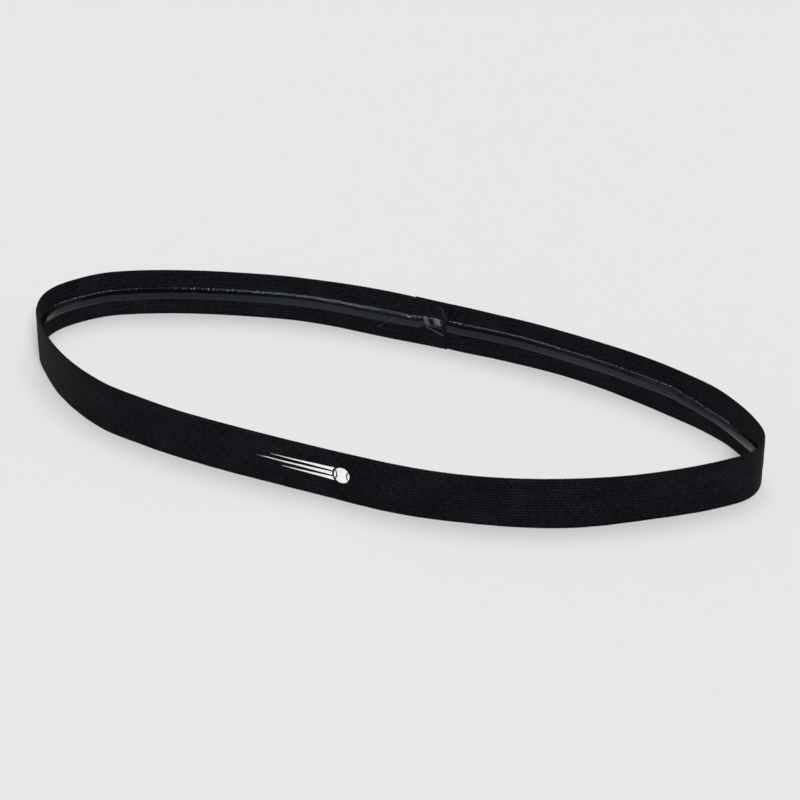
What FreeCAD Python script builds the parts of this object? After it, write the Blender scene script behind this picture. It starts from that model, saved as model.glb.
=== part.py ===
import FreeCAD, Part
import math
import os
import re
import Sketcher

# Sports headband: one strip of woven elastic, lapped at the back and sewn into
# a loop, with a silicone grip bead all round its inside and a printed mark on
# its front. Millimetres. The loop stands on its lower edge with +Z up, its
# longest side along X and its front at -Y, and the origin is under its middle.

DIMENSIONS = {
    "band_width": 12.7,
    "web_thickness": 0.7,
    "ply_gap": 0.15,
    "lap_length": 9.4,
    "start_x": -11.32,
    "start_y": 38.37,
    "start_heading": 5.85,
    "rubber_diameter": 0.4,
    "rubber_pitch": 0.95,
    "grip_width": 3.8,
    "grip_rise": 0.6,
    "grip_drop": 0.25,
    "squeezed_width": 4.6,
    "thread_diameter": 0.28,
    "thread_sink": 0.08,
    "stitch_pitch": 1.9,
    "seam_margin": 3.6,
    "seam_depth": 4.6,
    "mark_station": 230.0,
    "mark_raise": 0.6,
    "mark_length": 24.8,
    "mark_height": 4.0,
    "film_thickness": 0.08,
}

# The strip's middle line seen from above, clockwise from the lap, as tangent
# arcs: name, radius and turn in degrees. The turns add up to a full circle, so
# both plies of the lap end on the same two radii. The radii left out are the
# ones that close the loop.
ARCS = (
    ("back", 712.0, 1.4),
    ("back_right", 163.0, 19.8),
    ("right_shoulder", 46.0, 31.0),
    ("right_end", 11.8, 76.6),
    ("front_right", 101.0, 49.5),
    ("front", None, 6.1),
    ("front_left", 74.0, 44.9),
    ("left_end", None, 98.7),
    ("back_left", 126.0, 30.0),
    ("inner_ply", None, 2.0),
)
ARC_NAMES = [arc[0] for arc in ARCS]
FIRST_GUESS = {"front": 542.0, "left_end": 20.6}

RUBBER_THREADS = 12
STITCHES_PER_ROW = 5
UP = FreeCAD.Vector(0, 0, 1)

doc = FreeCAD.newDocument("headband")


def fill_sheet():
    """One cell for each driving dimension, with the dimension's name as its alias."""
    cells = dict(DIMENSIONS)
    for name, radius, turn in ARCS:
        cells["turn_" + name] = turn
        if radius is not None:
            cells["radius_" + name] = radius
    page = doc.addObject("Spreadsheet::Sheet", "Dimensions")
    for row, (alias, value) in enumerate(cells.items(), start=1):
        page.set("A%d" % row, alias)
        page.set("B%d" % row, str(value))
        page.setAlias("B%d" % row, alias)
    doc.recompute()
    return page, set(cells)


sheet, ALIASES = fill_sheet()


def size(alias):
    """The value of one cell of the sheet."""
    return float(sheet.get(alias))


def bind(thing, prop, formula):
    """Tie a property to a formula written with the sheet's aliases."""
    known = r"\b(%s)\b" % "|".join(sorted(ALIASES))
    thing.setExpression(prop, re.sub(known, r"Dimensions.\1", formula))


def dimension(sketch, name, formula, *constraint):
    """Add a measured constraint to a sketch and tie it to a formula."""
    index = sketch.addConstraint(Sketcher.Constraint(*constraint))
    sketch.renameConstraint(index, name)
    bind(sketch, "Constraints." + name, formula)


def inner_ply_radius():
    """The middle line of the lap's inner ply, on the same centre as the outer ply."""
    return size("radius_back") - size("web_thickness") - size("ply_gap")


def lap_turn():
    """How far the strip turns within the lap, in radians."""
    return size("lap_length") / size("radius_back")


def guessed_arcs():
    """The middle line's arcs near their true places, for the sketch to solve."""
    runs = [(size("radius_back"), lap_turn())]
    for name, radius, turn in ARCS:
        runs.append((radius or FIRST_GUESS.get(name, inner_ply_radius()), math.radians(turn)))
    angle = math.radians(size("start_heading")) + math.pi / 2
    point = FreeCAD.Vector(0, 0, 0)
    arcs = []
    for radius, turn in runs:
        centre = point - FreeCAD.Vector(math.cos(angle), math.sin(angle), 0) * radius
        arcs.append(Part.ArcOfCircle(Part.Circle(centre, UP, radius), angle - turn, angle))
        angle -= turn
        point = centre + FreeCAD.Vector(math.cos(angle), math.sin(angle), 0) * radius
    return arcs


def draw_strip_line():
    """The strip's middle line, from its outer end at the lap round to its inner end.

    It runs clockwise, so it leaves each arc at the arc's own start and enters
    the next one at that arc's end.
    """
    line = doc.addObject("Sketcher::SketchObject", "strip_line")
    bind(line, "Placement.Base.x", "start_x")
    bind(line, "Placement.Base.y", "start_y")
    bind(line, "Placement.Base.z", "band_width / 2")
    leave, enter, centre = 1, 2, 3
    last = len(ARCS)
    for arc in guessed_arcs():
        line.addGeometry(arc, False)
    for index in range(last):
        line.addConstraint(Sketcher.Constraint("Tangent", index, leave, index + 1, enter))
    line.addConstraint(Sketcher.Constraint("Coincident", 0, enter, -1, 1))
    line.addConstraint(Sketcher.Constraint("Equal", 0, 1))
    line.addConstraint(Sketcher.Constraint("Coincident", last, centre, 0, centre))
    aside = size("radius_back") * math.sin(math.radians(size("start_heading")))
    dimension(line, "heading", "radius_back * sin( start_heading * 1 deg )",
              "DistanceX", 0, enter, 0, centre, aside)
    dimension(line, "lap", "lap_length / radius_back * 1 rad", "Angle", 0, lap_turn())
    for index, (name, radius, turn) in enumerate(ARCS, start=1):
        dimension(line, "turn_" + name, "turn_%s * 1 deg" % name,
                  "Angle", index, math.radians(turn))
        if radius is not None:
            dimension(line, "radius_" + name, "radius_" + name, "Radius", index, radius)
    dimension(line, "radius_inner_ply", "radius_back - web_thickness - ply_gap",
              "Radius", last, inner_ply_radius())
    doc.recompute()
    return line


strip_line = draw_strip_line()

# The finished wire runs the other way, from the strip's inner end to its outer end.
WHOLE_STRIP = ["Edge%d" % number for number in range(1, len(ARCS) + 2)]
PAST_THE_LAP = WHOLE_STRIP[:-1]
IN_THE_LAP = WHOLE_STRIP[-1:]


def across_strip(kind, name, edge):
    """A section object square to the strip where an edge begins: x outward, y up."""
    section = doc.addObject(kind, name)
    section.AttachmentSupport = [(strip_line, edge)]
    section.MapMode = "NormalToEdge"
    section.MapPathParameter = 0.0
    return section


def rectangle_across(name, edge, thickness, width, offset_x, offset_y):
    """A rectangle square to the strip, its sizes and inner lower corner as formulas."""
    section = across_strip("Part::Plane", name, edge)
    bind(section, "Length", thickness)
    bind(section, "Width", width)
    bind(section, "AttachmentOffset.Base.x", offset_x)
    bind(section, "AttachmentOffset.Base.y", offset_y)
    return section


def sweep(name, section, edges):
    """Carry a section along some of the strip's edges."""
    piece = doc.addObject("Part::Sweep", name)
    piece.Sections = [section]
    piece.Spine = (strip_line, edges)
    piece.Solid = True
    piece.Frenet = False
    return piece


def make_rubber_threads():
    """Covered rubber threads side by side in the elastic, on its middle plane."""
    section = across_strip("Part::Circle", "rubber_section", WHOLE_STRIP[0])
    bind(section, "Radius", "rubber_diameter / 2")
    threads = []
    for number in range(RUBBER_THREADS):
        thread = sweep("rubber_thread_%02d" % (number + 1), section, WHOLE_STRIP)
        steps = number - (RUBBER_THREADS - 1) / 2
        bind(thread, "Placement.Base.z", "%s * rubber_pitch" % steps)
        threads.append(thread)
    return threads


def draw_grip_section():
    """The grip bead's dome: a chord on the strip's inner face and a shallow arc."""
    section = across_strip("Sketcher::SketchObject", "grip_section", WHOLE_STRIP[0])
    face = -size("web_thickness") / 2
    half = size("grip_width") / 2
    middle = -size("grip_drop")
    low = FreeCAD.Vector(face, middle - half, 0)
    high = FreeCAD.Vector(face, middle + half, 0)
    crest = FreeCAD.Vector(face - size("grip_rise"), middle, 0)
    section.addGeometry(Part.LineSegment(low, high), False)
    section.addGeometry(Part.Arc(high, crest, low), False)
    section.addConstraint(Sketcher.Constraint("Vertical", 0))
    section.addConstraint(Sketcher.Constraint("Coincident", 0, 2, 1, 1))
    section.addConstraint(Sketcher.Constraint("Coincident", 1, 2, 0, 1))
    dimension(section, "face", "-web_thickness / 2", "DistanceX", -1, 1, 0, 1, face)
    dimension(section, "chord", "grip_width", "DistanceY", 0, 1, 0, 2, 2 * half)
    dimension(section, "lower_edge", "-grip_drop - grip_width / 2",
              "DistanceY", -1, 1, 0, 1, middle - half)
    radius = (half ** 2 + size("grip_rise") ** 2) / (2 * size("grip_rise"))
    dimension(section, "dome", "( ( grip_width / 2 ) ^ 2 + grip_rise ^ 2 ) / ( 2 * grip_rise )",
              "Radius", 1, radius)
    return section


def make_grip_bead():
    """The grip bead: a dome round the inside, squeezed flat between the lap's plies."""
    dome = sweep("grip_dome", draw_grip_section(), PAST_THE_LAP)
    squeezed = rectangle_across("squeezed_section", IN_THE_LAP[0], "ply_gap", "squeezed_width",
                                "-web_thickness / 2 - ply_gap", "-grip_drop - squeezed_width / 2")
    bead = doc.addObject("Part::Fuse", "grip_bead")
    bead.Base = dome
    bead.Tool = sweep("grip_in_lap", squeezed, IN_THE_LAP)
    bead.Refine = False
    return bead


def lap_point(along, outward, height):
    """A point by the lap: along from the strip's outer end, outward from the outer
    ply's middle line, and up from the floor."""
    centre = strip_line.Placement.multVec(strip_line.Geometry[0].Center)
    angle = math.radians(size("start_heading") + 90) - along / size("radius_back")
    reach = size("radius_back") + outward
    return FreeCAD.Vector(centre.x + reach * math.cos(angle),
                          centre.y + reach * math.sin(angle), height)


def seam_holes():
    """The seam's needle holes as (along, height), in sewing order: up one row, down
    on a slant across the lap, and up the other row, each between two rubber threads."""
    near = size("seam_margin")
    depth = size("seam_depth")
    pitch = size("stitch_pitch")
    low = size("band_width") / 2 - pitch * STITCHES_PER_ROW / 2
    steps = range(STITCHES_PER_ROW + 1)
    first = [(near, low + pitch * step) for step in steps]
    slant = [(near + depth * step / STITCHES_PER_ROW, low + pitch * (STITCHES_PER_ROW - step))
             for step in steps]
    second = [(near + depth, low + pitch * step) for step in steps]
    return first + slant[1:] + second[1:]


def tube(start, end):
    """A straight length of sewing thread."""
    return Part.makeCylinder(size("thread_diameter") / 2, (end - start).Length, start, end - start)


def knuckle(point, axis=UP):
    """A ball a little fatter than the thread, where two lengths of it meet."""
    return Part.makeSphere(size("thread_diameter") * 0.55, point, axis)


def sewn_thread(surface, locked, tail=()):
    """One of the seam's two threads: on the cloth from hole to hole, and through each
    hole to the depth where the two threads lock. surface and locked are outward
    places, and tail is the points of a loose end."""
    holes = seam_holes()
    tops = [lap_point(along, surface, height) for along, height in holes]
    lengths = [tube(start, end) for start, end in zip(tops, tops[1:])]
    legs = [tube(top, lap_point(along, locked, height))
            for top, (along, height) in zip(tops, holes)]
    ends = [tube(start, end) for start, end in zip(tail, tail[1:])]
    knuckles = [knuckle(point) for point in tops]
    bends = [knuckle(end, end - start) for start, end in zip(tail, tail[1:])]
    return lengths[0].fuse(lengths[1:] + legs + ends + knuckles + bends)


def dome_rise(height):
    """How far the grip bead stands off the cloth at a height above the floor."""
    half = size("grip_width") / 2
    radius = (half ** 2 + size("grip_rise") ** 2) / (2 * size("grip_rise"))
    aside = height - size("band_width") / 2 + size("grip_drop")
    return max(0.0, math.sqrt(max(0.0, radius ** 2 - aside ** 2)) - radius + size("grip_rise"))


def loose_tail(inner_face):
    """The bobbin thread's cut end, which lies over the other stitches, the grip bead
    and the cloth below it."""
    along, height = seam_holes()[2]
    lift = size("thread_diameter") / 2 - size("thread_sink")
    points = [lap_point(along, inner_face - lift, height)]
    above = inner_face - lift - 1.1 * size("thread_diameter")
    for step in range(1, 5):
        spot = along + 1.3 * step
        level = height - 0.4 * step
        points.append(lap_point(spot, above - dome_rise(level), level))
    return points


def add_shape(name, shape):
    """A piece whose shape is worked out here from the sheet's sizes."""
    piece = doc.addObject("Part::Feature", name)
    piece.Shape = shape
    return piece


def make_seam():
    """The needle thread on the loop's outside and the bobbin thread on its inside."""
    half_web = size("web_thickness") / 2
    lift = size("thread_diameter") / 2 - size("thread_sink")
    locked = -half_web - size("ply_gap") / 2
    inner_face = -size("web_thickness") - size("ply_gap") - half_web
    needle = add_shape("seam_needle_thread", sewn_thread(half_web + lift, locked))
    bobbin = add_shape("seam_bobbin_thread",
                       sewn_thread(inner_face - lift, locked, loose_tail(inner_face)))
    return [needle, bobbin]


def together(name, pieces):
    """Several pieces as one tool for cutting."""
    group = doc.addObject("Part::Compound", name)
    group.Links = pieces
    return group


def cut_away(name, base, tools):
    """What is left of a piece after each tool in turn is taken out of it."""
    for number, tool in enumerate(tools, start=1):
        last = number == len(tools)
        piece = doc.addObject("Part::Cut", name if last else "%s_cut_%d" % (name, number))
        piece.Base = base
        piece.Tool = tool
        piece.Refine = False
        base = piece
    return base


def mark_frame():
    """The mark's place on the loop's outer face, and the radius of that face.

    x runs to the right as the mark is seen, y up and z outward.
    """
    runs = strip_line.Geometry
    index = 1 + ARC_NAMES.index("front")
    before = runs[:index]
    walked = sum(arc.length() for arc in before)
    turned = sum(arc.LastParameter - arc.FirstParameter for arc in before)
    front = runs[index]
    angle = math.radians(size("start_heading") + 90) - turned
    angle -= (size("mark_station") - walked) / front.Radius
    radius = front.Radius + size("web_thickness") / 2
    outward = FreeCAD.Vector(math.cos(angle), math.sin(angle), 0)
    centre = strip_line.Placement.multVec(front.Center) + outward * radius
    centre.z = size("band_width") / 2 + size("mark_raise")
    return FreeCAD.Placement(centre, FreeCAD.Rotation(UP.cross(outward), UP, outward)), radius


def prism(points, depth):
    """A prism through the mark's plane from the corners of its outline."""
    corners = [FreeCAD.Vector(x, y, -depth) for x, y in points]
    return Part.Face(Part.makePolygon(corners + corners[:1])).extrude(UP * 2 * depth)


def drum(x, radius, depth):
    """A round bar through the mark's plane, its middle on the mark's middle line."""
    return Part.makeCylinder(radius, 2 * depth, FreeCAD.Vector(x, 0, -depth))


def make_printed_mark():
    """A plain pictogram in one film of ink: a ball with two curved seams, and three
    streaks that trail behind it."""
    place, radius = mark_frame()
    film = size("film_thickness")
    depth = 2.0
    tall = size("mark_height")
    ball_radius = tall / 2
    right = size("mark_length") / 2
    ball_x = right - ball_radius
    seam_radius = 0.95 * ball_radius
    seam_line = 0.17 * ball_radius
    ball = drum(ball_x, ball_radius, depth)
    for side in (-1, 1):
        seam_x = ball_x + side * 1.5 * ball_radius
        seam = drum(seam_x, seam_radius, depth).cut(drum(seam_x, seam_radius - seam_line, depth))
        ball = ball.cut(seam)
    solids = list(ball.Solids)
    clear = drum(ball_x, 1.25 * ball_radius, depth)
    for level, reach in ((0.62, 0.82), (0.0, 1.0), (-0.62, 0.7)):
        middle = level * ball_radius
        half = 0.21 * ball_radius
        tip = ball_x - reach * (size("mark_length") - ball_radius)
        streak = prism(((tip, middle), (ball_x, middle - half), (ball_x, middle + half)), depth)
        solids += streak.cut(clear).Solids
    axis_end = FreeCAD.Vector(0, -tall, -radius)
    up = FreeCAD.Vector(0, 1, 0)
    inked = Part.makeCylinder(radius + film, 2 * tall, axis_end, up)
    inked = inked.cut(Part.makeCylinder(radius, 2 * tall, axis_end, up))
    mark = add_shape("printed_mark", Part.makeCompound([s.common(inked) for s in solids]))
    mark.Placement = place
    return mark


def make_webbing(rubber_threads, seam):
    """The woven elastic, whole from end to end, with its channels and needle holes."""
    section = rectangle_across("web_section", WHOLE_STRIP[0], "web_thickness", "band_width",
                               "-web_thickness / 2", "-band_width / 2")
    solid_web = sweep("solid_web", section, WHOLE_STRIP)
    return cut_away("webbing", solid_web, [together("channels", rubber_threads)] + seam)


def build():
    """Every separate piece of the headband."""
    rubber_threads = make_rubber_threads()
    seam = make_seam()
    webbing = make_webbing(rubber_threads, seam)
    grip = cut_away("silicone_grip", make_grip_bead(), seam)
    return [webbing, grip] + rubber_threads + seam + [make_printed_mark()]


def check(pieces):
    """Stop if any object has failed, or if a piece is not a sound solid."""
    for thing in doc.Objects:
        if "Invalid" in thing.State or "Error" in thing.State:
            raise RuntimeError("failed object: %s %s" % (thing.Name, thing.getStatusString()))
    for piece in pieces:
        shape = piece.Shape
        if shape.isNull() or not shape.isValid() or not shape.Solids:
            raise RuntimeError("unsound piece: " + piece.Label)


def main():
    pieces = build()
    for piece in pieces:
        piece.Label = piece.Name
    doc.recompute()
    check(pieces)
    os.makedirs("parts", exist_ok=True)
    for piece in pieces:
        piece.Shape.exportStep("parts/%s.step" % piece.Label)
        box = piece.Shape.optimalBoundingBox()
        print("%-20s %2d solids  volume %8.2f  box %6.1f %6.1f %6.1f"
              % (piece.Label, len(piece.Shape.Solids), piece.Shape.Volume,
                 box.XLength, box.YLength, box.ZLength))
    print("strip length %.1f mm" % strip_line.Shape.Length)


main()
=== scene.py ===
import math

import bpy
import numpy as np
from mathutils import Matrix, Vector


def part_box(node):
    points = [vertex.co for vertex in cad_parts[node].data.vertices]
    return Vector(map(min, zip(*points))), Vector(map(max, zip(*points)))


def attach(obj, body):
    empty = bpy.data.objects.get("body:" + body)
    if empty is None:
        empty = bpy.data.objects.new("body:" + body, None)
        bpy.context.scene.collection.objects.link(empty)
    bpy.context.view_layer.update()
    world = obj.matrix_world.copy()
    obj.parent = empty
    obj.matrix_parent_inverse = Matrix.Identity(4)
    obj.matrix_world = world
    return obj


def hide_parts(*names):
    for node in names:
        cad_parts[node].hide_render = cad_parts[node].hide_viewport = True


# A thin elastic sports headband: a woven strip that stands on its edge as a sewn
# loop, with a silicone bead inside it, a lockstitched lap at the back and a
# printed mark on the front. Every place on it is worked out from three numbers:
# the station along the strip from its outer end, the height above the floor,
# and how far it stands outward from the strip's middle line. Sizes are in metres.

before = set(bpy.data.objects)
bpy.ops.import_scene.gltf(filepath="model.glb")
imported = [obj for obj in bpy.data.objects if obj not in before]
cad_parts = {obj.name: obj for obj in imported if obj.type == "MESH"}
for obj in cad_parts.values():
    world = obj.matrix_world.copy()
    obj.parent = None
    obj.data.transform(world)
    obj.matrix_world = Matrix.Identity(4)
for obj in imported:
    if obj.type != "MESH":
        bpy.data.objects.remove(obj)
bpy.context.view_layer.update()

MM = 0.001
BAND_WIDTH = 12.7 * MM
WEB_THICKNESS = 0.7 * MM
PLY_GAP = 0.15 * MM
LAP = 9.4 * MM
START_HEADING = math.radians(5.85)

# The strip's middle line, clockwise from above, as tangent arcs: radius and turn
# in degrees. The first one takes in the lap's outer ply, and the last its inner ply.
# The two radii given to a thousandth are the ones that close the loop.
OUTER_PLY_RADIUS = 712.0 * MM
INNER_PLY_RADIUS = OUTER_PLY_RADIUS - WEB_THICKNESS - PLY_GAP
ARCS = (
    (OUTER_PLY_RADIUS, 1.4 + math.degrees(LAP / OUTER_PLY_RADIUS)),
    (163.0 * MM, 19.8),
    (46.0 * MM, 31.0),
    (11.8 * MM, 76.6),
    (101.0 * MM, 49.5),
    (542.369 * MM, 6.1),
    (74.0 * MM, 44.9),
    (20.627 * MM, 98.7),
    (126.0 * MM, 30.0),
    (INNER_PLY_RADIUS, 2.0),
)

# The stitches press the lap: each ply in it is thinner, and the two stand closer. Past
# the lap the strip soon regains its thickness, and more slowly its own line.
PRESSED_THICKNESS = 0.45 * MM
PRESS = (WEB_THICKNESS + PLY_GAP - PRESSED_THICKNESS) / 2
PRESS_RUN = 30 * MM
THICKEN_RUN = 2 * MM

# The weave: the ribs along the strip, the warp columns up it, how far the yarns stand
# out, the height of a crown on average, the unevenness of the whole face, how far in
# and how deep the face rolls over its edges, and the weft's loops on the upper edge.
RIB_PITCH = 0.75 * MM
SAMPLES_PER_RIB = 4
WARP_COLUMNS = 17
WEAVE_RELIEF = 0.10 * MM
MEAN_CROWN = 0.45
FACE_SWELL = 0.05 * MM
FACE_SWELL_PITCH = 14 * MM
EDGE_ROLL = 0.5 * MM
EDGE_DROP = 0.10 * MM
EDGE_LOOP = 0.035 * MM

RUBBER_THREADS = 12
RUBBER_PITCH = 0.95 * MM
RUBBER_RADIUS = 0.2 * MM

GRIP_MIDDLE = BAND_WIDTH / 2 - 0.25 * MM
GRIP_SUNK = 0.09 * MM
SQUEEZED_WIDTH = 4.6 * MM

# The bead wanders a little, as it was laid: the distance from the lap's start, how far
# its middle lies above its usual height, and its width, all in millimetres. Last comes
# how dull dust has made it, from 0 to 1. Here and below, a distance less than 0 is on
# the strip's last stretch, before it comes round to the lap again.
BEAD_COURSE = (
    (-125, 0.2, 2.7, 0.0), (-112, 0.5, 2.7, 0.0), (-106, 0.25, 3.4, 0.0), (-102, 0.1, 3.7, 0.6),
    (-94, -0.1, 3.75, 0.8), (-90, -0.2, 3.75, 0.1), (-60, 0.1, 3.85, 0.0), (-28, 0.1, 3.85, 0.7),
    (-12, 0.05, 3.75, 0.7), (1, 0.1, 3.75, 0.7), (3, 0.65, 2.9, 0.5), (8, 0.65, 2.9, 0.3),
    (9.4, 0.4, 3.85, 0.3), (26, 0.6, 3.8, 0.2), (45, 0.2, 3.75, 1.0), (62, 0.25, 3.65, 0.6),
    (74, 0.45, 3.6, 0.7), (80, -0.15, 3.3, 0.4), (86, -0.8, 3.0, 0.0), (97, -1.2, 3.3, 0.0),
    (112, -0.3, 3.6, 0.0),
)

# The limp strip doesn't stand quite true: the distance from the lap's start, how far the
# strip bows out of its line there, and how far its upper edge leans out and its lower
# edge in, all in millimetres.
SWAY = (
    (-217, -0.15, -0.1), (-182, 0.1, -0.15), (-168, -0.35, -0.25), (-156, 0.2, -0.35),
    (-134, -0.05, -0.1), (-125, -0.2, 0.05), (-115, -0.2, 0.0), (-102, 0.6, 0.0),
    (-90, -0.4, 0.0), (-76, 0.0, 0.05), (-49, -0.4, 0.0), (-32, 0.0, 0.0),
    (-8, 0.0, 0.75), (12, 0.0, 0.35), (26, 0.0, 0.05),
    (44, 0.0, -0.15), (72, 0.0, 0.55), (86, 0.05, 0.45), (96, 0.1, 0.1), (112, 0.25, 0.05),
    (128, 0.1, 0.0), (145, -0.25, 0.2), (167, 0.1, -0.35), (190, -0.1, -0.05),
    (210, 0.0, -0.3), (227, -0.15, -0.1),
)

# The bead's section, from its upper edge at 0 to its lower one at 1: the slope of its
# surface there in degrees. It has slumped a little as it set, so a steep upper edge
# meets a plain slope at a crease, and the belly is low.
BEAD_SLOPES = (
    (0.0, 58), (0.075, 46), (0.085, 30), (0.17, 23), (0.30, 18), (0.40, 4), (0.60, -8),
    (0.82, -20), (0.93, -42), (0.965, -60), (1.0, -66),
)
BEAD_END = 1.3 * MM

STITCHES_PER_ROW = 5
STITCH_PITCH = 1.9 * MM
STITCH_DENT = 0.14 * MM
SEAM_MARGIN = 3.6 * MM
SEAM_DEPTH = 4.6 * MM
THREAD_RADIUS = 0.14 * MM

# The patches where the seam has torn the bead: the distance into the lap and half of the
# patch's length there, its middle height and half of its height, all in millimetres,
# and how pale it is, from 0 to 1.
SCUFFS = ((3.6, 0.65, 7.4, 1.3, 0.8), (6.45, 0.95, 7.7, 1.1, 1.0))

# The bobbin thread's two loose ends, and a fibre that has come away beside the lap, as
# (distance into the lap, height) in millimetres. Then comes how far all three lie off
# the surface.
TAIL = ((3.6, 5.3), (5.0, 5.0), (6.8, 4.4), (8.5, 3.9))
UPPER_TAIL = ((6.5, 11.5), (7.4, 11.45), (8.0, 11.0), (8.35, 9.9), (9.2, 8.4))
FIBRE = ((-10.1, 2.6), (-8.6, 3.7), (-6.8, 5.2), (-4.7, 6.8))
LOOSE_LIFT = 0.14 * MM
FIBRE_RADIUS = 0.06 * MM

# The printed mark. Each streak has a level, in radii of the ball above its middle, and
# a reach, as a share of the way from the ball's middle to the mark's other end.
MARK_STATION = 230.0 * MM
MARK_MIDDLE = BAND_WIDTH / 2 + 0.6 * MM
MARK_LENGTH = 24.8 * MM
MARK_HEIGHT = 4.0 * MM
STREAKS = ((0.62, 0.82), (0.0, 1.0), (-0.62, 0.7))
FILM_THICKNESS = 0.07 * MM
FILM_LIFT = 0.02 * MM
FILM_RELIEF = 0.012 * MM

# The camera's angles are in degrees, and its lens and sensor in millimetres.
CAMERA_AZIMUTH = 30.0
CAMERA_ELEVATION = 30.0
CAMERA_DISTANCE = 0.645
CAMERA_TARGET = (0.807 * MM, 9.394 * MM, 0.0)
CAMERA_LENS = 115.7
SENSOR_WIDTH = 36.0


class StripLine:
    """The strip's middle line in plan, read at any station along it."""

    def __init__(self, cad_low, cad_high):
        angle = START_HEADING + math.pi / 2
        point = np.zeros(2)
        station = 0.0
        rows = []
        for radius, turn in ARCS:
            turn = math.radians(turn)
            centre = point - radius * np.array((math.cos(angle), math.sin(angle)))
            rows.append((station, radius, angle, centre[0], centre[1]))
            station += radius * turn
            angle -= turn
            point = centre + radius * np.array((math.cos(angle), math.sin(angle)))
        self.length = station
        self.starts, self.radii, self.angles, xs, ys = np.array(rows).T
        self.centres = np.stack((xs, ys), axis=1)
        # The line comes to lie in the middle of the CAD strip's box.
        samples = 4000
        around, _ = self.at(np.linspace(0.0, self.length, samples))
        middle = (np.array(cad_low[:2]) + np.array(cad_high[:2])) / 2
        self.centres += middle - (around.min(axis=0) + around.max(axis=0)) / 2

    def at(self, stations):
        """The line's points and outward directions at these stations."""
        stations = np.asarray(stations, float)
        index = np.clip(np.searchsorted(self.starts, stations, side="right") - 1, 0, None)
        radii = self.radii[index]
        angles = self.angles[index] - (stations - self.starts[index]) / radii
        outward = np.stack((np.cos(angles), np.sin(angles)), axis=-1)
        return self.centres[index] + radii[..., None] * outward, outward


strip_low, strip_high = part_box("webbing")
LINE = StripLine(strip_low, strip_high)
INNER_PLY_START = LINE.length - LAP * INNER_PLY_RADIUS / OUTER_PLY_RADIUS


def fade(distance, run):
    """From 1 down to 0, smoothly, as a distance grows from nothing to the whole run."""
    share = np.clip(distance / run, 0, 1)
    return 1 - share ** 2 * (3 - 2 * share)


def half_thickness(stations):
    """Half of the strip's thickness, less where the lap is pressed."""
    ends = np.maximum(fade(stations - LAP, THICKEN_RUN),
                      fade(INNER_PLY_START - stations, THICKEN_RUN))
    return WEB_THICKNESS / 2 - ends * (WEB_THICKNESS - PRESSED_THICKNESS) / 2


def read_course(table, stations):
    """The measures that a table gives against the distance from the lap's start, eased
    between its rows, at stations along the strip."""
    from_lap = np.where(stations < LINE.length / 2, stations, stations - INNER_PLY_START) / MM
    spots, *measures = np.array(table).T
    index = np.clip(np.searchsorted(spots, from_lap) - 1, 0, len(spots) - 2)
    ease = 1 - fade(from_lap - spots[index], spots[index + 1] - spots[index])
    return [part[index] + ease * (part[index + 1] - part[index]) for part in measures]


def place(stations, heights, outward):
    """Points of the headband from stations, heights and outward distances."""
    stations, heights, outward = np.broadcast_arrays(stations, heights, outward)
    points, directions = LINE.at(stations)
    shift = fade(INNER_PLY_START - stations, PRESS_RUN) - fade(stations - LAP, PRESS_RUN)
    bow, lean = read_course(SWAY, stations)
    sway = bow + lean * (2 * heights / BAND_WIDTH - 1)
    plan = points + directions * (outward + shift * PRESS + sway * MM)[..., None]
    return np.concatenate((plan, heights[..., None]), axis=-1)


# ---------------------------------------------------------------- mesh helpers


def new_mesh(name, points, quads):
    """A smooth object from an array of points and an array of four-cornered faces."""
    mesh = bpy.data.meshes.new(name)
    mesh.vertices.add(len(points))
    mesh.vertices.foreach_set("co", np.asarray(points, np.float32).ravel())
    mesh.loops.add(quads.size)
    mesh.loops.foreach_set("vertex_index", quads.ravel().astype(np.int32))
    mesh.polygons.add(len(quads))
    mesh.polygons.foreach_set("loop_start", np.arange(0, quads.size, 4, dtype=np.int32))
    mesh.polygons.foreach_set("use_smooth", np.full(len(quads), True))
    mesh.update(calc_edges=True)
    mesh.validate()
    piece = bpy.data.objects.new(name, mesh)
    bpy.context.scene.collection.objects.link(piece)
    return piece


def grid_quads(rows, columns, first=0, ring=False):
    """The faces of a grid of points, row by row; a ring's last column meets its first."""
    spans = columns if ring else columns - 1
    row, column = np.meshgrid(np.arange(rows - 1), np.arange(spans), indexing="ij")
    after = (column + 1) % columns
    corners = (row * columns + column, row * columns + after,
               (row + 1) * columns + after, (row + 1) * columns + column)
    return np.stack(corners, axis=-1).reshape(-1, 4) + first


def join_grids(name, grids):
    """One object from several grids, each an array of rows x columns x 3 and a ring flag."""
    points, quads, first = [], [], 0
    for grid, ring in grids:
        rows, columns = grid.shape[:2]
        points.append(grid.reshape(-1, 3))
        quads.append(grid_quads(rows, columns, first, ring))
        first += rows * columns
    return new_mesh(name, np.concatenate(points), np.concatenate(quads))


def add_strip_map(piece, stations, heights):
    """A UV map in millimetres: along the strip, and up it."""
    layer = piece.data.uv_layers.new(name="strip")
    corners = np.zeros(len(piece.data.loops), np.int32)
    piece.data.loops.foreach_get("vertex_index", corners)
    pairs = np.stack((stations.ravel()[corners], heights.ravel()[corners]), axis=1) / MM
    layer.data.foreach_set("uv", pairs.astype(np.float32).ravel())


def add_shade(piece, name, values):
    """A number at each point of a mesh, for its material to read."""
    layer = piece.data.attributes.new(name, "FLOAT", "POINT")
    layer.data.foreach_set("value", np.asarray(values, np.float32).ravel())


def wander(stations, heights, pitch, seed):
    """Smooth unevenness over the strip, mostly from -1 to 1, about one swell to each pitch."""
    draw = np.random.default_rng(seed)
    total = np.zeros(np.broadcast(stations, heights).shape)
    waves = 7
    spread = 1.4
    for _ in range(waves):
        along, up = draw.normal(size=2) * 2 * math.pi / pitch
        total = total + np.sin(stations * along + heights * up + draw.uniform(0, 2 * math.pi))
    return total / math.sqrt(waves) / spread


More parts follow.
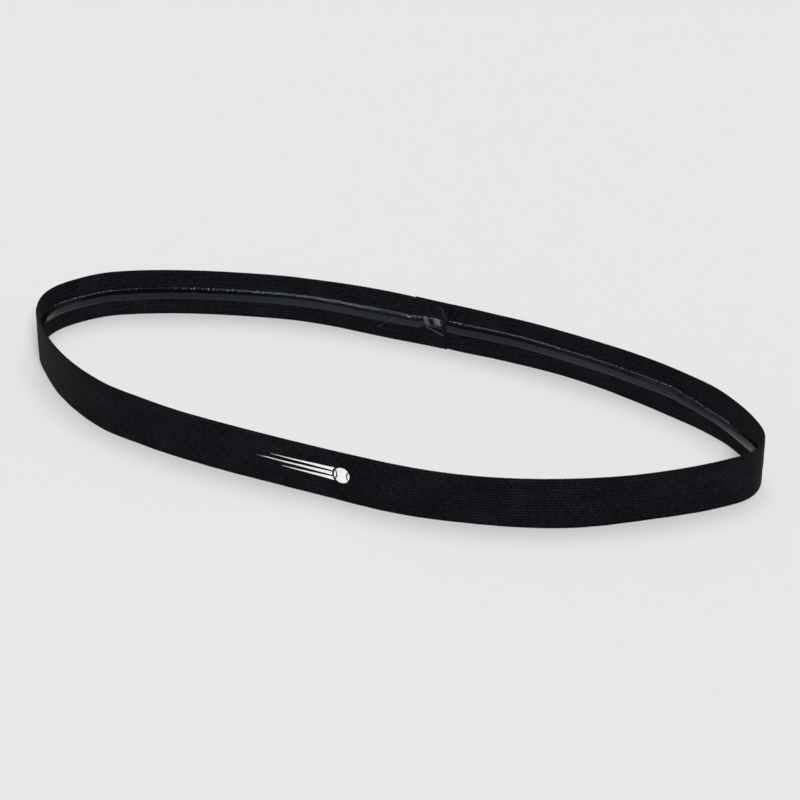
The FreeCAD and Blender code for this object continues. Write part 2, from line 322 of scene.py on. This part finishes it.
# ------------------------------------------------------------------- the seam


def seam_holes():
    """The needle holes in sewing order, as (distance into the lap, height): up one
    row, down on a slant across the lap, and up the other row."""
    low = BAND_WIDTH / 2 - STITCH_PITCH * STITCHES_PER_ROW / 2
    steps = range(STITCHES_PER_ROW + 1)
    first = [(SEAM_MARGIN, low + STITCH_PITCH * step) for step in steps]
    slant = [(SEAM_MARGIN + SEAM_DEPTH * step / STITCHES_PER_ROW,
              low + STITCH_PITCH * (STITCHES_PER_ROW - step)) for step in steps]
    second = [(SEAM_MARGIN + SEAM_DEPTH, low + STITCH_PITCH * step) for step in steps]
    return np.array(first + slant[1:] + second[1:])


def inner_station(into_lap):
    """The station on the lap's inner ply, behind a distance into the lap."""
    return INNER_PLY_START + into_lap * INNER_PLY_RADIUS / OUTER_PLY_RADIUS


def seam_pinch(into_lap, heights):
    """From 0 to 1, how hard the stitches pull the surface in at a place in the lap:
    hardest at the holes, and less between them."""
    holes = seam_holes()
    into_lap, heights = np.broadcast_arrays(into_lap, heights)
    spots = np.stack((into_lap, heights), axis=-1)
    pull = np.zeros(into_lap.shape)
    reach = 0.42 * MM
    for start, end in zip(holes, holes[1:]):
        run = end - start
        share = np.clip(((spots - start) @ run) / (run @ run), 0, 1)
        gap = np.linalg.norm(spots - start - share[..., None] * run, axis=-1)
        force = 0.62 + 0.38 * np.cos(2 * math.pi * share)
        pull = np.maximum(pull, np.exp(-(gap / reach) ** 2) * force)
    return pull


# --------------------------------------------------------------- the webbing


def float_crowns(stations, rows, seed):
    """How high the yarns stand, about 0 in the gaps and 1 on the crowns: floats along
    the warp columns, each column's half a rib along from its neighbours'."""
    column = np.floor(rows / 2)
    phase = stations / RIB_PITCH + 0.5 * (column % 2)
    phase = phase + 0.14 * wander(stations, column * MM, 9 * MM, seed)
    swell = (0.5 + 0.5 * np.cos(2 * math.pi * phase)) ** 0.8
    crown = np.where(rows % 2 == 1, 0.2 + 0.8 * swell, 0.12)
    return crown * (1 + 0.28 * wander(stations, column * 3 * MM, 2.2 * MM, seed + 1))


def web_face(side, seed):
    """One face of the strip and its half of the two selvedges: the grid of points, and
    the station, the height and the crown of each. side is 1 outside and -1 inside."""
    ribs = round(LINE.length / RIB_PITCH)
    stations = np.linspace(0.0, LINE.length, ribs * SAMPLES_PER_RIB + 1)[:, None]
    rows = np.arange(2 * WARP_COLUMNS + 1)
    heights = BAND_WIDTH * rows / rows[-1]
    half = half_thickness(stations)
    crown = float_crowns(stations, rows, seed)
    off = half + WEAVE_RELIEF * (crown - MEAN_CROWN)
    off = off + FACE_SWELL * wander(stations, heights, FACE_SWELL_PITCH, seed + 2)
    edge = np.minimum(heights, BAND_WIDTH - heights) / EDGE_ROLL
    off = off - EDGE_DROP * np.clip(1 - edge, 0, 1) ** 2
    into_lap = stations if side > 0 else stations - INNER_PLY_START
    off = off - STITCH_DENT * seam_pinch(into_lap, heights)
    loops = EDGE_LOOP * np.cos(2 * math.pi * stations / RIB_PITCH)
    # Past each edge two more rows of points turn in towards the other face.
    lip = half * np.array((0.02, 0.60))
    low = np.array((0.0, 0.02)) * MM + 0 * loops
    high = BAND_WIDTH + np.array((0.07, 0.10)) * MM + loops
    all_heights = np.concatenate((low, heights + 0 * stations, high), axis=1)
    all_off = np.concatenate((lip, off, lip[:, ::-1]), axis=1)
    # The turned-over edge rows get a crown of 0.75, which the cloth's colour shows lighter: a painted
    # highlight along both edges.
    rim = 0.75 + 0 * lip
    shades = np.concatenate((rim, crown, rim), axis=1)
    all_stations = stations + 0 * all_off
    grid = place(all_stations, all_heights, side * all_off)
    return grid, all_stations, all_heights, shades


def make_webbing(name, side, seed):
    """One face of the woven strip as a piece, mapped along and up the strip."""
    parts = web_face(side, seed)
    if side < 0:
        parts = [part[:, ::-1] for part in parts]
    grid, stations, heights, crown = parts
    piece = join_grids(name, [(grid, False)])
    add_strip_map(piece, stations, heights)
    add_shade(piece, "crown", crown)
    return piece


def make_cut_end(name, station, direction):
    """The fused cut end of the strip: a rough, slightly crowned cap."""
    heights = np.linspace(0.0, BAND_WIDTH, 70)[:, None]
    across = np.linspace(-1, 1, 9)
    crown = 0.10 * MM * (1 - across ** 2)
    roughness = 0.05 * MM
    rough = roughness * wander(heights, across * MM, 0.8 * MM, seed=21)
    grid = place(station + direction * (crown + rough), heights, across * PRESSED_THICKNESS / 2)
    if direction < 0:
        grid = grid[:, ::-1]
    piece = join_grids(name, [(grid, False)])
    add_strip_map(piece, heights + 0 * across, across * MM + 0 * heights)
    # The cap's crown follows its roughness, so its raised bits are painted lighter and its hollows
    # darker: painted shade.
    add_shade(piece, "crown", 0.4 + 0.4 * rough / roughness)
    return piece


# ------------------------------------------------------- tubes, for thread


def tube_grid(points, radius, sides, plies=0, twist=0.0):
    """A tube along a line of points. plies gives it a many-stranded section, which twist
    turns by that many radians over each metre."""
    points = np.asarray(points, float)
    tangents = np.gradient(points, axis=0)
    tangents /= np.linalg.norm(tangents, axis=1)[:, None]
    up = np.array((0.0, 0.0, 1.0))
    side = np.array((1.0, 0.0, 0.0))
    guide = np.where(np.abs(tangents @ up)[:, None] > 0.9, side, up)
    first = np.cross(tangents, guide)
    # The section is carried from point to point without turning about the line.
    for row in range(1, len(first)):
        first[row] = first[row - 1] - tangents[row] * (first[row - 1] @ tangents[row])
    first /= np.linalg.norm(first, axis=1)[:, None]
    second = np.cross(tangents, first)
    walked = np.concatenate(((0,), np.cumsum(np.linalg.norm(np.diff(points, axis=0), axis=1))))
    around = np.linspace(0, 2 * math.pi, sides, endpoint=False)
    reach = np.full((len(points), sides), radius)
    if plies:
        reach = reach * (1 + 0.16 * np.cos(plies * (around - twist * walked[:, None])))
    ring = np.cos(around)[:, None] * first[:, None] + np.sin(around)[:, None] * second[:, None]
    return points[:, None] + reach[..., None] * ring


def sewing_tube(points, radius):
    """A sewing thread along a line of points: three plies, firmly twisted."""
    return tube_grid(points, radius, sides=12, plies=3, twist=9000.0)


def make_rubber_thread(number):
    """One covered rubber thread inside the strip, from end to end."""
    height = BAND_WIDTH / 2 + (number - (RUBBER_THREADS - 1) / 2) * RUBBER_PITCH
    short = 0.02 * MM
    stations = np.linspace(short, LINE.length - short, 420)
    pressed = (half_thickness(stations) / (WEB_THICKNESS / 2)) ** 2
    grid = tube_grid(place(stations, height, 0.0), RUBBER_RADIUS * pressed[:, None], sides=8)
    return join_grids("rubber_thread_%02d_core" % (number + 1), [(grid, True)])


# --------------------------------------------------------- the silicone bead


def bead_columns():
    """The places across the bead that its mesh has points at, closest where it bends."""
    steps = 3
    spots = [spot for spot, _ in BEAD_SLOPES]
    spans = [np.linspace(low, high, steps, endpoint=False) for low, high in zip(spots, spots[1:])]
    return np.concatenate((*spans, (1.0,)))


def bead_profile(across):
    """How far the bead's surface stands off its edge, as a share of its width."""
    spots, slopes = np.array(BEAD_SLOPES).T
    fine = np.linspace(0, 1, 1001)
    steepness = np.tan(np.radians(np.interp(fine, spots, slopes)))
    steps = (steepness[1:] + steepness[:-1]) / 2 * (fine[1] - fine[0])
    return np.interp(across, fine, np.concatenate(((0.0,), np.cumsum(steps))))


def bead_course(stations):
    """The height of the bead's middle, and its width, at stations along the strip."""
    lift, width, _ = read_course(BEAD_COURSE, stations)
    return GRIP_MIDDLE + lift * MM, width * MM


def bead_surface(stations, across):
    """The height on the strip, and the rise off the cloth, of the bead's surface: its
    edges are ragged from the weave, and its upper crease is toothed."""
    middle, width = bead_course(stations)
    weave = np.cos(2 * math.pi * stations / RIB_PITCH + 1.2 * wander(stations, 0.0, 6 * MM, seed=31))
    edge_line = np.sign(across - 0.5) * 5 * MM
    ragged = 0.05 * MM * weave + 0.05 * MM * wander(stations, edge_line, 2.2 * MM, seed=32)
    near_edge = (1 - 2 * across) ** 2 * np.sign(0.5 - across)
    heights = middle + (0.5 - across) * width + near_edge * ragged
    teeth = np.cos(2 * math.pi * stations / (1.05 * MM) + 2.5 * wander(stations, 0.0, 3 * MM, seed=35))
    teeth = teeth * (0.5 + 0.5 * wander(stations, 0.0, 7 * MM, seed=37))
    crease = np.exp(-((across - 0.08) / 0.05) ** 2)
    rise = bead_profile(across) * width * (1 + 0.05 * wander(stations, across * 2 * MM, 8 * MM, seed=34))
    return heights, rise + 0.035 * MM * teeth * crease


def bead_scuffs(stations, heights):
    """From 0 to 1, how far the silicone is torn and whitened where the seam crosses it."""
    into_lap = (stations - INNER_PLY_START) / MM
    scuffs = np.zeros(into_lap.shape)
    for middle, half_length, centre, half_height, level in SCUFFS:
        up = heights / MM - centre
        along = into_lap - middle + 0.42 * up
        shape = np.exp(-(np.abs(up) / half_height) ** 8) * (1 + 0.2 * up)
        scuffs = scuffs + level * shape * np.exp(-(np.abs(along) / half_length) ** 6)
    grain = 0.85 + 0.4 * wander(stations, heights, 0.9 * MM, seed=36)
    return np.clip(scuffs * grain, 0, 1)


def make_bead():
    """The silicone bead on the strip's inner face, and squeezed flat in the lap."""
    end = LINE.length - BEAD_END
    stations = np.linspace(LAP, end, 3200)[:, None]
    heights, rise = bead_surface(stations, bead_columns())
    rise = rise * (1 - 0.6 * seam_pinch(stations - INNER_PLY_START, heights))
    rise = rise * (1 - 0.7 * fade(end - stations, 0.4 * MM))
    bead = place(stations, heights, GRIP_SUNK - half_thickness(stations) - rise)
    margin = 0.1 * MM
    flat_stations = np.linspace(margin, LAP - margin, 20)[:, None]
    flat_heights = GRIP_MIDDLE + np.array((-0.5, -0.48, 0.48, 0.5)) * SQUEEZED_WIDTH
    squeezed = place(flat_stations, flat_heights, -PRESSED_THICKNESS / 2)
    piece = join_grids("silicone_bead", [(bead[:, ::-1], False), (squeezed, False)])
    heights = heights[:, ::-1]
    all_stations = np.concatenate(((stations + 0 * heights).ravel(),
                                   (flat_stations + 0 * flat_heights).ravel()))
    all_heights = np.concatenate((heights.ravel(), (flat_heights + 0 * flat_stations).ravel()))
    add_strip_map(piece, all_stations, all_heights)
    add_shade(piece, "scuff", bead_scuffs(all_stations, all_heights) * (all_stations > LAP))
    add_shade(piece, "dust", read_course(BEAD_COURSE, all_stations)[2])
    return piece


# ----------------------------------------------------------- the sewing threads


def smooth_line(share, knots, values):
    """Values read smoothly between knots, on a line that passes through each."""
    slopes = np.gradient(values, knots)
    index = np.clip(np.searchsorted(knots, share) - 1, 0, len(knots) - 2)
    step = knots[index + 1] - knots[index]
    u = (share - knots[index]) / step
    ease = u * u * (3 - 2 * u)
    blend = values[index] * (1 - ease) + values[index + 1] * ease
    return blend + step * (u * (1 - u) ** 2 * slopes[index] - u * u * (1 - u) * slopes[index + 1])


def stitch_line(surface, lift, sunk, station_of):
    """The thread's line from hole to hole: sunk at each hole and lifted between them.
    station_of turns a distance into the lap into a station on the thread's ply."""
    points = []
    holes = seam_holes()
    for start, end in zip(holes, holes[1:]):
        share = np.linspace(0, 1, 20, endpoint=False)[:, None]
        spots = start + share * (end - start)
        arch = np.sin(share[:, 0] * math.pi) ** 0.55
        off = surface + np.sign(surface) * (sunk + (lift - sunk) * arch)
        points.append(place(station_of(spots[:, 0]), spots[:, 1], off))
    return np.concatenate(points)


def loose_line(spots):
    """The line of a thread that lies loose on the inner ply and the bead, through a few
    spots given as (distance into the lap, height) in millimetres."""
    spots = np.array(spots) * MM
    knots = np.linspace(0, 1, len(spots))
    share = np.linspace(0, 1, 48)
    into_lap, heights = (smooth_line(share, knots, spots[:, axis]) for axis in (0, 1))
    stations = inner_station(into_lap)
    middle, width = bead_course(stations)
    across = np.clip(0.5 - (heights - middle) / width, 0, 1)
    rise = np.clip(bead_profile(across) * width - GRIP_SUNK, 0, None)
    return place(stations, heights, -half_thickness(stations) - rise - LOOSE_LIFT)


def make_needle_thread():
    """The seam's outer thread, on the outer ply."""
    points = stitch_line(PRESSED_THICKNESS / 2, lift=0.08 * MM, sunk=-0.3 * MM,
                         station_of=lambda into_lap: into_lap)
    return join_grids("seam_needle_thread_stitches", [(sewing_tube(points, THREAD_RADIUS), True)])


def make_bobbin_thread():
    """The seam's inner thread, on the inner ply and in the bead, with its loose ends and
    the fibre: each has its line, its radius and how much painted sheen makes it paler."""
    stitches = stitch_line(-PRESSED_THICKNESS / 2, lift=0.02 * MM, sunk=-0.25 * MM,
                           station_of=inner_station)
    # The loose ends and the fibre are painted paler than the stitches: a painted sheen.
    parts = [(stitches, THREAD_RADIUS, 0.0), (loose_line(TAIL), THREAD_RADIUS * 1.1, 1.0),
             (loose_line(UPPER_TAIL), THREAD_RADIUS, 0.45), (loose_line(FIBRE), FIBRE_RADIUS, 1.0)]
    grids = [sewing_tube(line, radius) for line, radius, _ in parts]
    painted_sheens = [np.full(grid.shape[:2], painted_sheen) for grid, (_, _, painted_sheen) in zip(grids, parts)]
    piece = join_grids("seam_bobbin_thread_stitches", [(grid, True) for grid in grids])
    add_shade(piece, "painted_sheen", np.concatenate([painted_sheen.ravel() for painted_sheen in painted_sheens]))
    return piece


# ----------------------------------------------------------- the printed mark


def film_patch(low, high, limits, rows, columns):
    """A patch of film between two heights, measured from the mark's middle; limits gives
    its two sides at a height. x runs to the right as the mark is seen, and y up."""
    y = np.linspace(low, high, rows)
    left, right = limits(y)
    x = left[:, None] + (right - left)[:, None] * np.linspace(0, 1, columns)
    y = np.broadcast_to(y[:, None], x.shape)
    stations = MARK_STATION - x
    relief = FILM_RELIEF * np.cos(2 * math.pi * stations / RIB_PITCH)
    relief = relief * np.cos(math.pi * y / (BAND_WIDTH / WARP_COLUMNS))
    return place(stations, MARK_MIDDLE + y, WEB_THICKNESS / 2 + FILM_LIFT + relief)


def make_mark():
    """A plain pictogram in one film of ink: a ball with two curved seams, and three
    streaks that trail behind it."""
    radius = MARK_HEIGHT / 2
    ball_x = MARK_LENGTH / 2 - radius
    seam_x, seam_out = 1.5 * radius, 0.95 * radius
    seam_in = seam_out - 0.17 * radius
    edge = 0.999 * radius

    # The ball's outline and seams, and from them the two sides of each part at a height.
    def rim(y):
        return np.sqrt(np.clip(radius ** 2 - y ** 2, 0, None))

    def arc(y, reach):
        return -seam_x + np.sqrt(np.clip(reach ** 2 - y ** 2, 0, None))

    def middle(y):
        inner = np.maximum(-rim(y), np.where(np.abs(y) < seam_out, arc(y, seam_out), -radius))
        return ball_x + inner, ball_x - inner

    def crescent(y):
        return ball_x - rim(y), ball_x + np.maximum(arc(y, seam_in), -rim(y))

    def other_crescent(y):
        left, right = crescent(y)
        return 2 * ball_x - right, 2 * ball_x - left

    tip_y = 0.62 * radius
    patches = [film_patch(-edge, edge, middle, 49, 25),
               film_patch(-tip_y, tip_y, crescent, 33, 13),
               film_patch(-tip_y, tip_y, other_crescent, 33, 13)]
    clear = 1.25 * radius
    half = 0.21 * radius
    for level, reach in STREAKS:
        centre = level * radius
        tip = ball_x - reach * (MARK_LENGTH - radius)

        def streak(y, centre=centre, tip=tip):
            left = tip + (ball_x - tip) * np.abs(y - centre) / half
            right = ball_x - np.sqrt(clear ** 2 - y ** 2)
            return np.minimum(left, right), right

        most = half * 0.93
        patches.append(film_patch(centre - most, centre + most, streak, 13, 120))
    piece = join_grids("printed_mark_film", [(patch, False) for patch in patches])
    solid = piece.modifiers.new("film", "SOLIDIFY")
    solid.thickness = FILM_THICKNESS
    solid.offset = 1.0
    return piece


# ------------------------------------------------------------------ materials


class Nodes:
    """A short way to build a material's node tree."""

    def __init__(self, name):
        self.material = bpy.data.materials.new(name)
        self.material.use_nodes = True
        self.tree = self.material.node_tree
        self.shader = self.tree.nodes["Principled BSDF"]

    def add(self, kind, **inputs):
        """A new node, with its properties and inputs given by name."""
        node = self.tree.nodes.new("ShaderNode" + kind)
        for key, value in inputs.items():
            if hasattr(node, key):
                setattr(node, key, value)
            else:
                self.feed(node, key.replace("_", " "), value)
        return node

    def feed(self, node, socket, value):
        """Give an input a number, a colour or another node's output."""
        target = node.inputs[socket]
        if isinstance(value, bpy.types.NodeSocket):
            self.tree.links.new(value, target)
        else:
            target.default_value = value

    def set(self, **inputs):
        """Feed the shader's own inputs, by name."""
        for key, value in inputs.items():
            self.feed(self.shader, key.replace("_", " "), value)

    def mix(self, factor, first, second):
        """Two numbers mixed by a factor."""
        node = self.add("Mix", data_type="FLOAT", Factor=factor, A=first, B=second)
        return node.outputs["Result"]

    def mix_colours(self, factor, first, second):
        """Two colours mixed by a factor. The node's colour sockets share their names
        with its other types of socket, so they are picked by number."""
        node = self.add("Mix", data_type="RGBA", Factor=factor)
        self.tree.links.new(first, node.inputs[6])
        self.tree.links.new(second, node.inputs[7])
        return node.outputs[2]

    def strip(self, along, up):
        """The strip map in millimetres, stretched by these factors."""
        source = self.add("UVMap", uv_map="strip")
        mapping = self.add("Mapping", Vector=source.outputs["UV"])
        mapping.inputs["Scale"].default_value = (along, up, 1.0)
        return mapping.outputs["Vector"]

    def noise(self, vector, scale, detail=3.0, roughness=0.55):
        """Cloudy noise, from 0 to 1."""
        node = self.add("TexNoise", Vector=vector, Scale=scale, Detail=detail, Roughness=roughness)
        return node.outputs["Fac"]

    def ramp(self, value, stops):
        """A colour ramp through (place, colour) stops."""
        node = self.add("ValToRGB", Fac=value)
        elements = node.color_ramp.elements
        while len(elements) < len(stops):
            elements.new(0.5)
        for element, (spot, colour) in zip(elements, stops):
            element.position = spot
            element.color = (*colour, 1.0)
        return node.outputs["Color"]

    def bump(self, value, strength, distance):
        """A bumped normal from a height."""
        node = self.add("Bump", Height=value, Strength=strength, Distance=distance)
        return node.outputs["Normal"]


def grey(level, tint=(1.0, 1.0, 1.0)):
    """A colour of that lightness with a tint."""
    return tuple(level * part for part in tint)


# The cloth, the silicone and the thread are all a slightly blue black.
COOL = (0.97, 1.08, 1.50)


def fabric_material(name, level):
    """Black covered-elastic cloth: painted shade in the gaps between the yarns and lighter crowns, fine
    fibres on the yarns, slight fading.
    """
    nodes = Nodes(name)
    crown = nodes.add("Attribute", attribute_name="crown").outputs["Fac"]
    fibres = nodes.noise(nodes.strip(2.2, 9.0), 1.6, 5.0, 0.7)
    flecks = nodes.noise(nodes.strip(1.0, 1.4), 1.3, 2.0, 0.8)
    swells = nodes.noise(nodes.strip(0.10, 0.16), 1.0, 2.0)
    # The crown paints the gaps between the yarns darker and the crowns lighter: painted shade and light,
    # mixed with fibres, flecks and fading.
    tone = nodes.mix(0.3, crown, fibres)
    tone = nodes.mix(0.5, tone, flecks)
    tone = nodes.mix(0.2, tone, swells)
    colour = nodes.ramp(tone, ((0.32, grey(level * 0.1, COOL)), (0.47, grey(level * 0.8, COOL)),
                               (0.62, grey(level * 3.6, COOL))))
    rough = nodes.add("MapRange", Value=fibres, To_Min=0.62, To_Max=0.9).outputs["Result"]
    normal = nodes.bump(fibres, 0.5, 0.05 * MM)
    nodes.set(Base_Color=colour, Roughness=rough, Normal=normal, Specular_IOR_Level=0.06,
              Sheen_Weight=0.014, Sheen_Roughness=0.4, Sheen_Tint=(0.85, 0.9, 1.0, 1.0))
    return nodes.material


def silicone_material():
    """Glossy black silicone: faint flow marks and dust, and grey where it is torn."""
    nodes = Nodes("silicone")
    scuff = nodes.add("Attribute", attribute_name="scuff").outputs["Fac"]
    dusty = nodes.add("Attribute", attribute_name="dust").outputs["Fac"]
    flow = nodes.noise(nodes.strip(0.7, 2.2), 1.2, 3.0)
    dust = nodes.noise(nodes.strip(3.0, 3.0), 2.0, 4.0, 0.75)
    clean = nodes.ramp(dust, ((0.35, grey(0.0008, COOL)), (0.6, grey(0.0014, COOL)),
                              (0.8, grey(0.004, COOL))))
    dulled = nodes.ramp(dust, ((0.3, (0.005, 0.0055, 0.006)), (0.75, (0.012, 0.013, 0.014))))
    torn = nodes.ramp(dust, ((0.3, (0.075, 0.084, 0.088)), (0.7, (0.18, 0.20, 0.203))))
    whole = nodes.mix_colours(dusty, clean, dulled)
    colour = nodes.mix_colours(scuff, whole, torn)
    rough = nodes.add("MapRange", Value=flow, From_Min=0.3, From_Max=0.7,
                      To_Min=0.06, To_Max=0.14).outputs["Result"]
    rough = nodes.mix(scuff, rough, 0.45)
    grain = nodes.mix(dusty, flow, dust)
    normal = nodes.bump(grain, 0.35, 0.06 * MM)
    nodes.set(Base_Color=colour, Roughness=rough, Normal=normal, IOR=1.38,
              Specular_Tint=(0.74, 0.84, 1.0, 1.0))
    return nodes.material


def thread_material(name, level, roughness, shine=0.5):
    """Spun polyester or rubber thread, with fine fibres, painted paler on its loose ends: a painted
    sheen.
    """
    nodes = Nodes(name)
    painted_sheen = nodes.add("Attribute", attribute_name="painted_sheen").outputs["Fac"]
    object_map = nodes.add("TexCoord").outputs["Object"]
    fibres = nodes.noise(object_map, 5200.0, 4.0, 0.7)
    thread_colour = nodes.ramp(fibres, ((0.3, grey(level * 0.6, COOL)), (0.7, grey(level * 1.5, COOL))))
    pale = nodes.ramp(fibres, ((0.3, (0.035, 0.04, 0.042)), (0.7, (0.075, 0.083, 0.086))))
    # The paler colour on the loose ends is a painted sheen.
    colour = nodes.mix_colours(painted_sheen, thread_colour, pale)
    normal = nodes.bump(fibres, 0.4, 0.03 * MM)
    nodes.set(Base_Color=colour, Roughness=roughness, Normal=normal, Specular_IOR_Level=shine)
    return nodes.material


def ink_material():
    """White heat-transfer film: matte, a little uneven, and faintly worn."""
    nodes = Nodes("print_ink")
    object_map = nodes.add("TexCoord").outputs["Object"]
    worn = nodes.noise(object_map, 900.0, 4.0, 0.65)
    grain = nodes.noise(object_map, 5000.0, 3.0)
    colour = nodes.ramp(worn, ((0.25, (0.80, 0.81, 0.78)), (0.5, (0.9, 0.91, 0.88)),
                               (0.8, (0.93, 0.94, 0.92))))
    normal = nodes.bump(grain, 0.25, 0.02 * MM)
    nodes.set(Base_Color=colour, Roughness=0.55, Normal=normal)
    return nodes.material


def floor_material():
    """A plain, pale, matte floor."""
    nodes = Nodes("pale_floor")
    object_map = nodes.add("TexCoord").outputs["Object"]
    tone = nodes.noise(object_map, 2.0, 2.0)
    colour = nodes.ramp(tone, ((0.3, grey(0.8)), (0.7, grey(0.805))))
    nodes.set(Base_Color=colour, Roughness=0.9, Specular_IOR_Level=0.0)
    return nodes.material


# ------------------------------------------------------------- putting it together


def dress(piece, material, slot, *replaced):
    """Give a piece its material, ride it on the object and hide the CAD parts that it replaces; slot is
    not used.
    """
    piece.data.materials.append(material)
    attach(piece, "root")
    if replaced:
        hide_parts(*replaced)
    return piece


def build_headband():
    """Every visible piece of the headband."""
    outer = dress(make_webbing("webbing_outer_face", side=1, seed=11),
                  fabric_material("webbing_outer", 0.0041), "webbing", "webbing")
    inner = dress(make_webbing("webbing_inner_face", side=-1, seed=41),
                  fabric_material("webbing_inner", 0.0044), "webbing")
    cut_cloth = fabric_material("webbing_cut", 0.006)
    ends = [dress(make_cut_end("cut_end_outer", 0.0, direction=-1), cut_cloth, "webbing"),
            dress(make_cut_end("cut_end_inner", LINE.length, direction=1), cut_cloth, "webbing")]
    dress(make_bead(), silicone_material(), "silicone", "silicone_grip")
    rubber = thread_material("rubber_core", 0.03, 0.6)
    for number in range(RUBBER_THREADS):
        dress(make_rubber_thread(number), rubber, "rubber_thread",
              "rubber_thread_%02d" % (number + 1))
    sewing = thread_material("sewing_thread", 0.007, 0.6, 0.12)
    dress(make_needle_thread(), sewing, "sewing_thread", "seam_needle_thread")
    dress(make_bobbin_thread(), sewing, "sewing_thread", "seam_bobbin_thread")
    dress(make_mark(), ink_material(), "print_ink", "printed_mark")


def build_floor():
    """A wide pale floor for the loop to stand on."""
    bpy.ops.mesh.primitive_plane_add(size=30.0)
    floor = bpy.context.object
    floor.name = "floor"
    floor.data.materials.append(floor_material())


def aim(thing, spot, target):
    """Put a camera or a light at a spot, and point it at another."""
    thing.location = spot
    thing.rotation_euler = (Vector(target) - Vector(spot)).to_track_quat("-Z", "Y").to_euler()


def from_angles(azimuth, elevation, distance, target=(0.0, 0.0, 0.0)):
    """The spot at that azimuth, elevation (in degrees) and distance from a target:
    azimuth 0 stands at -Y and looks along +Y."""
    turn, lift = math.radians(azimuth), math.radians(elevation)
    flat = distance * math.cos(lift)
    return Vector(target) + Vector((flat * math.sin(turn), -flat * math.cos(turn),
                                    distance * math.sin(lift)))


def build_camera():
    """A long lens, thirty degrees round to the right and thirty degrees up."""
    data = bpy.data.cameras.new("camera")
    data.sensor_width = SENSOR_WIDTH
    data.lens = CAMERA_LENS
    data.clip_start = 0.01
    data.clip_end = 100.0
    camera = bpy.data.objects.new("camera", data)
    bpy.context.scene.collection.objects.link(camera)
    spot = from_angles(CAMERA_AZIMUTH, CAMERA_ELEVATION, CAMERA_DISTANCE, CAMERA_TARGET)
    aim(camera, spot, CAMERA_TARGET)
    bpy.context.scene.camera = camera


def build_sun(name, azimuth, elevation, width, strength, lights=True, mirrors=True):
    """A soft light from far away; width is the angle that its disc spans, in degrees.
    It lights matte surfaces, shows in glossy ones, or both."""
    data = bpy.data.lights.new(name, "SUN")
    data.energy = strength
    data.angle = math.radians(width)
    sun = bpy.data.objects.new(name, data)
    sun.visible_diffuse = lights
    sun.visible_glossy = mirrors
    bpy.context.scene.collection.objects.link(sun)
    aim(sun, from_angles(azimuth, elevation, 3.0), (0.0, 0.0, 0.0))


def build_studio_light():
    """A key above the camera that leaves no reflection, a broad light high behind, and
    five cards that are seen only as reflections."""
    build_sun("key", 40.0, 43.0, 24.0, 2.95, mirrors=False)
    build_sun("high_back", 198.0, 67.0, 44.0, 0.95)
    build_sun("card_middle", 30.0, 60.0, 34.0, 0.38, lights=False)
    build_sun("card_front", -2.0, 30.0, 12.0, 0.8, lights=False)
    build_sun("card_left", -56.0, 49.0, 18.0, 0.8, lights=False)
    build_sun("card_low_left", -62.0, 7.0, 44.0, 0.28, lights=False)
    build_sun("card_right", 98.0, 57.0, 20.0, 1.0, lights=False)
    world = bpy.data.worlds.new("studio")
    bpy.context.scene.world = world
    world.use_nodes = True
    background = world.node_tree.nodes["Background"]
    background.inputs["Color"].default_value = (1.0, 1.0, 1.0, 1.0)
    background.inputs["Strength"].default_value = 0.08
    bpy.context.scene.view_settings.view_transform = "Standard"


build_headband()
build_floor()
build_camera()
build_studio_light()
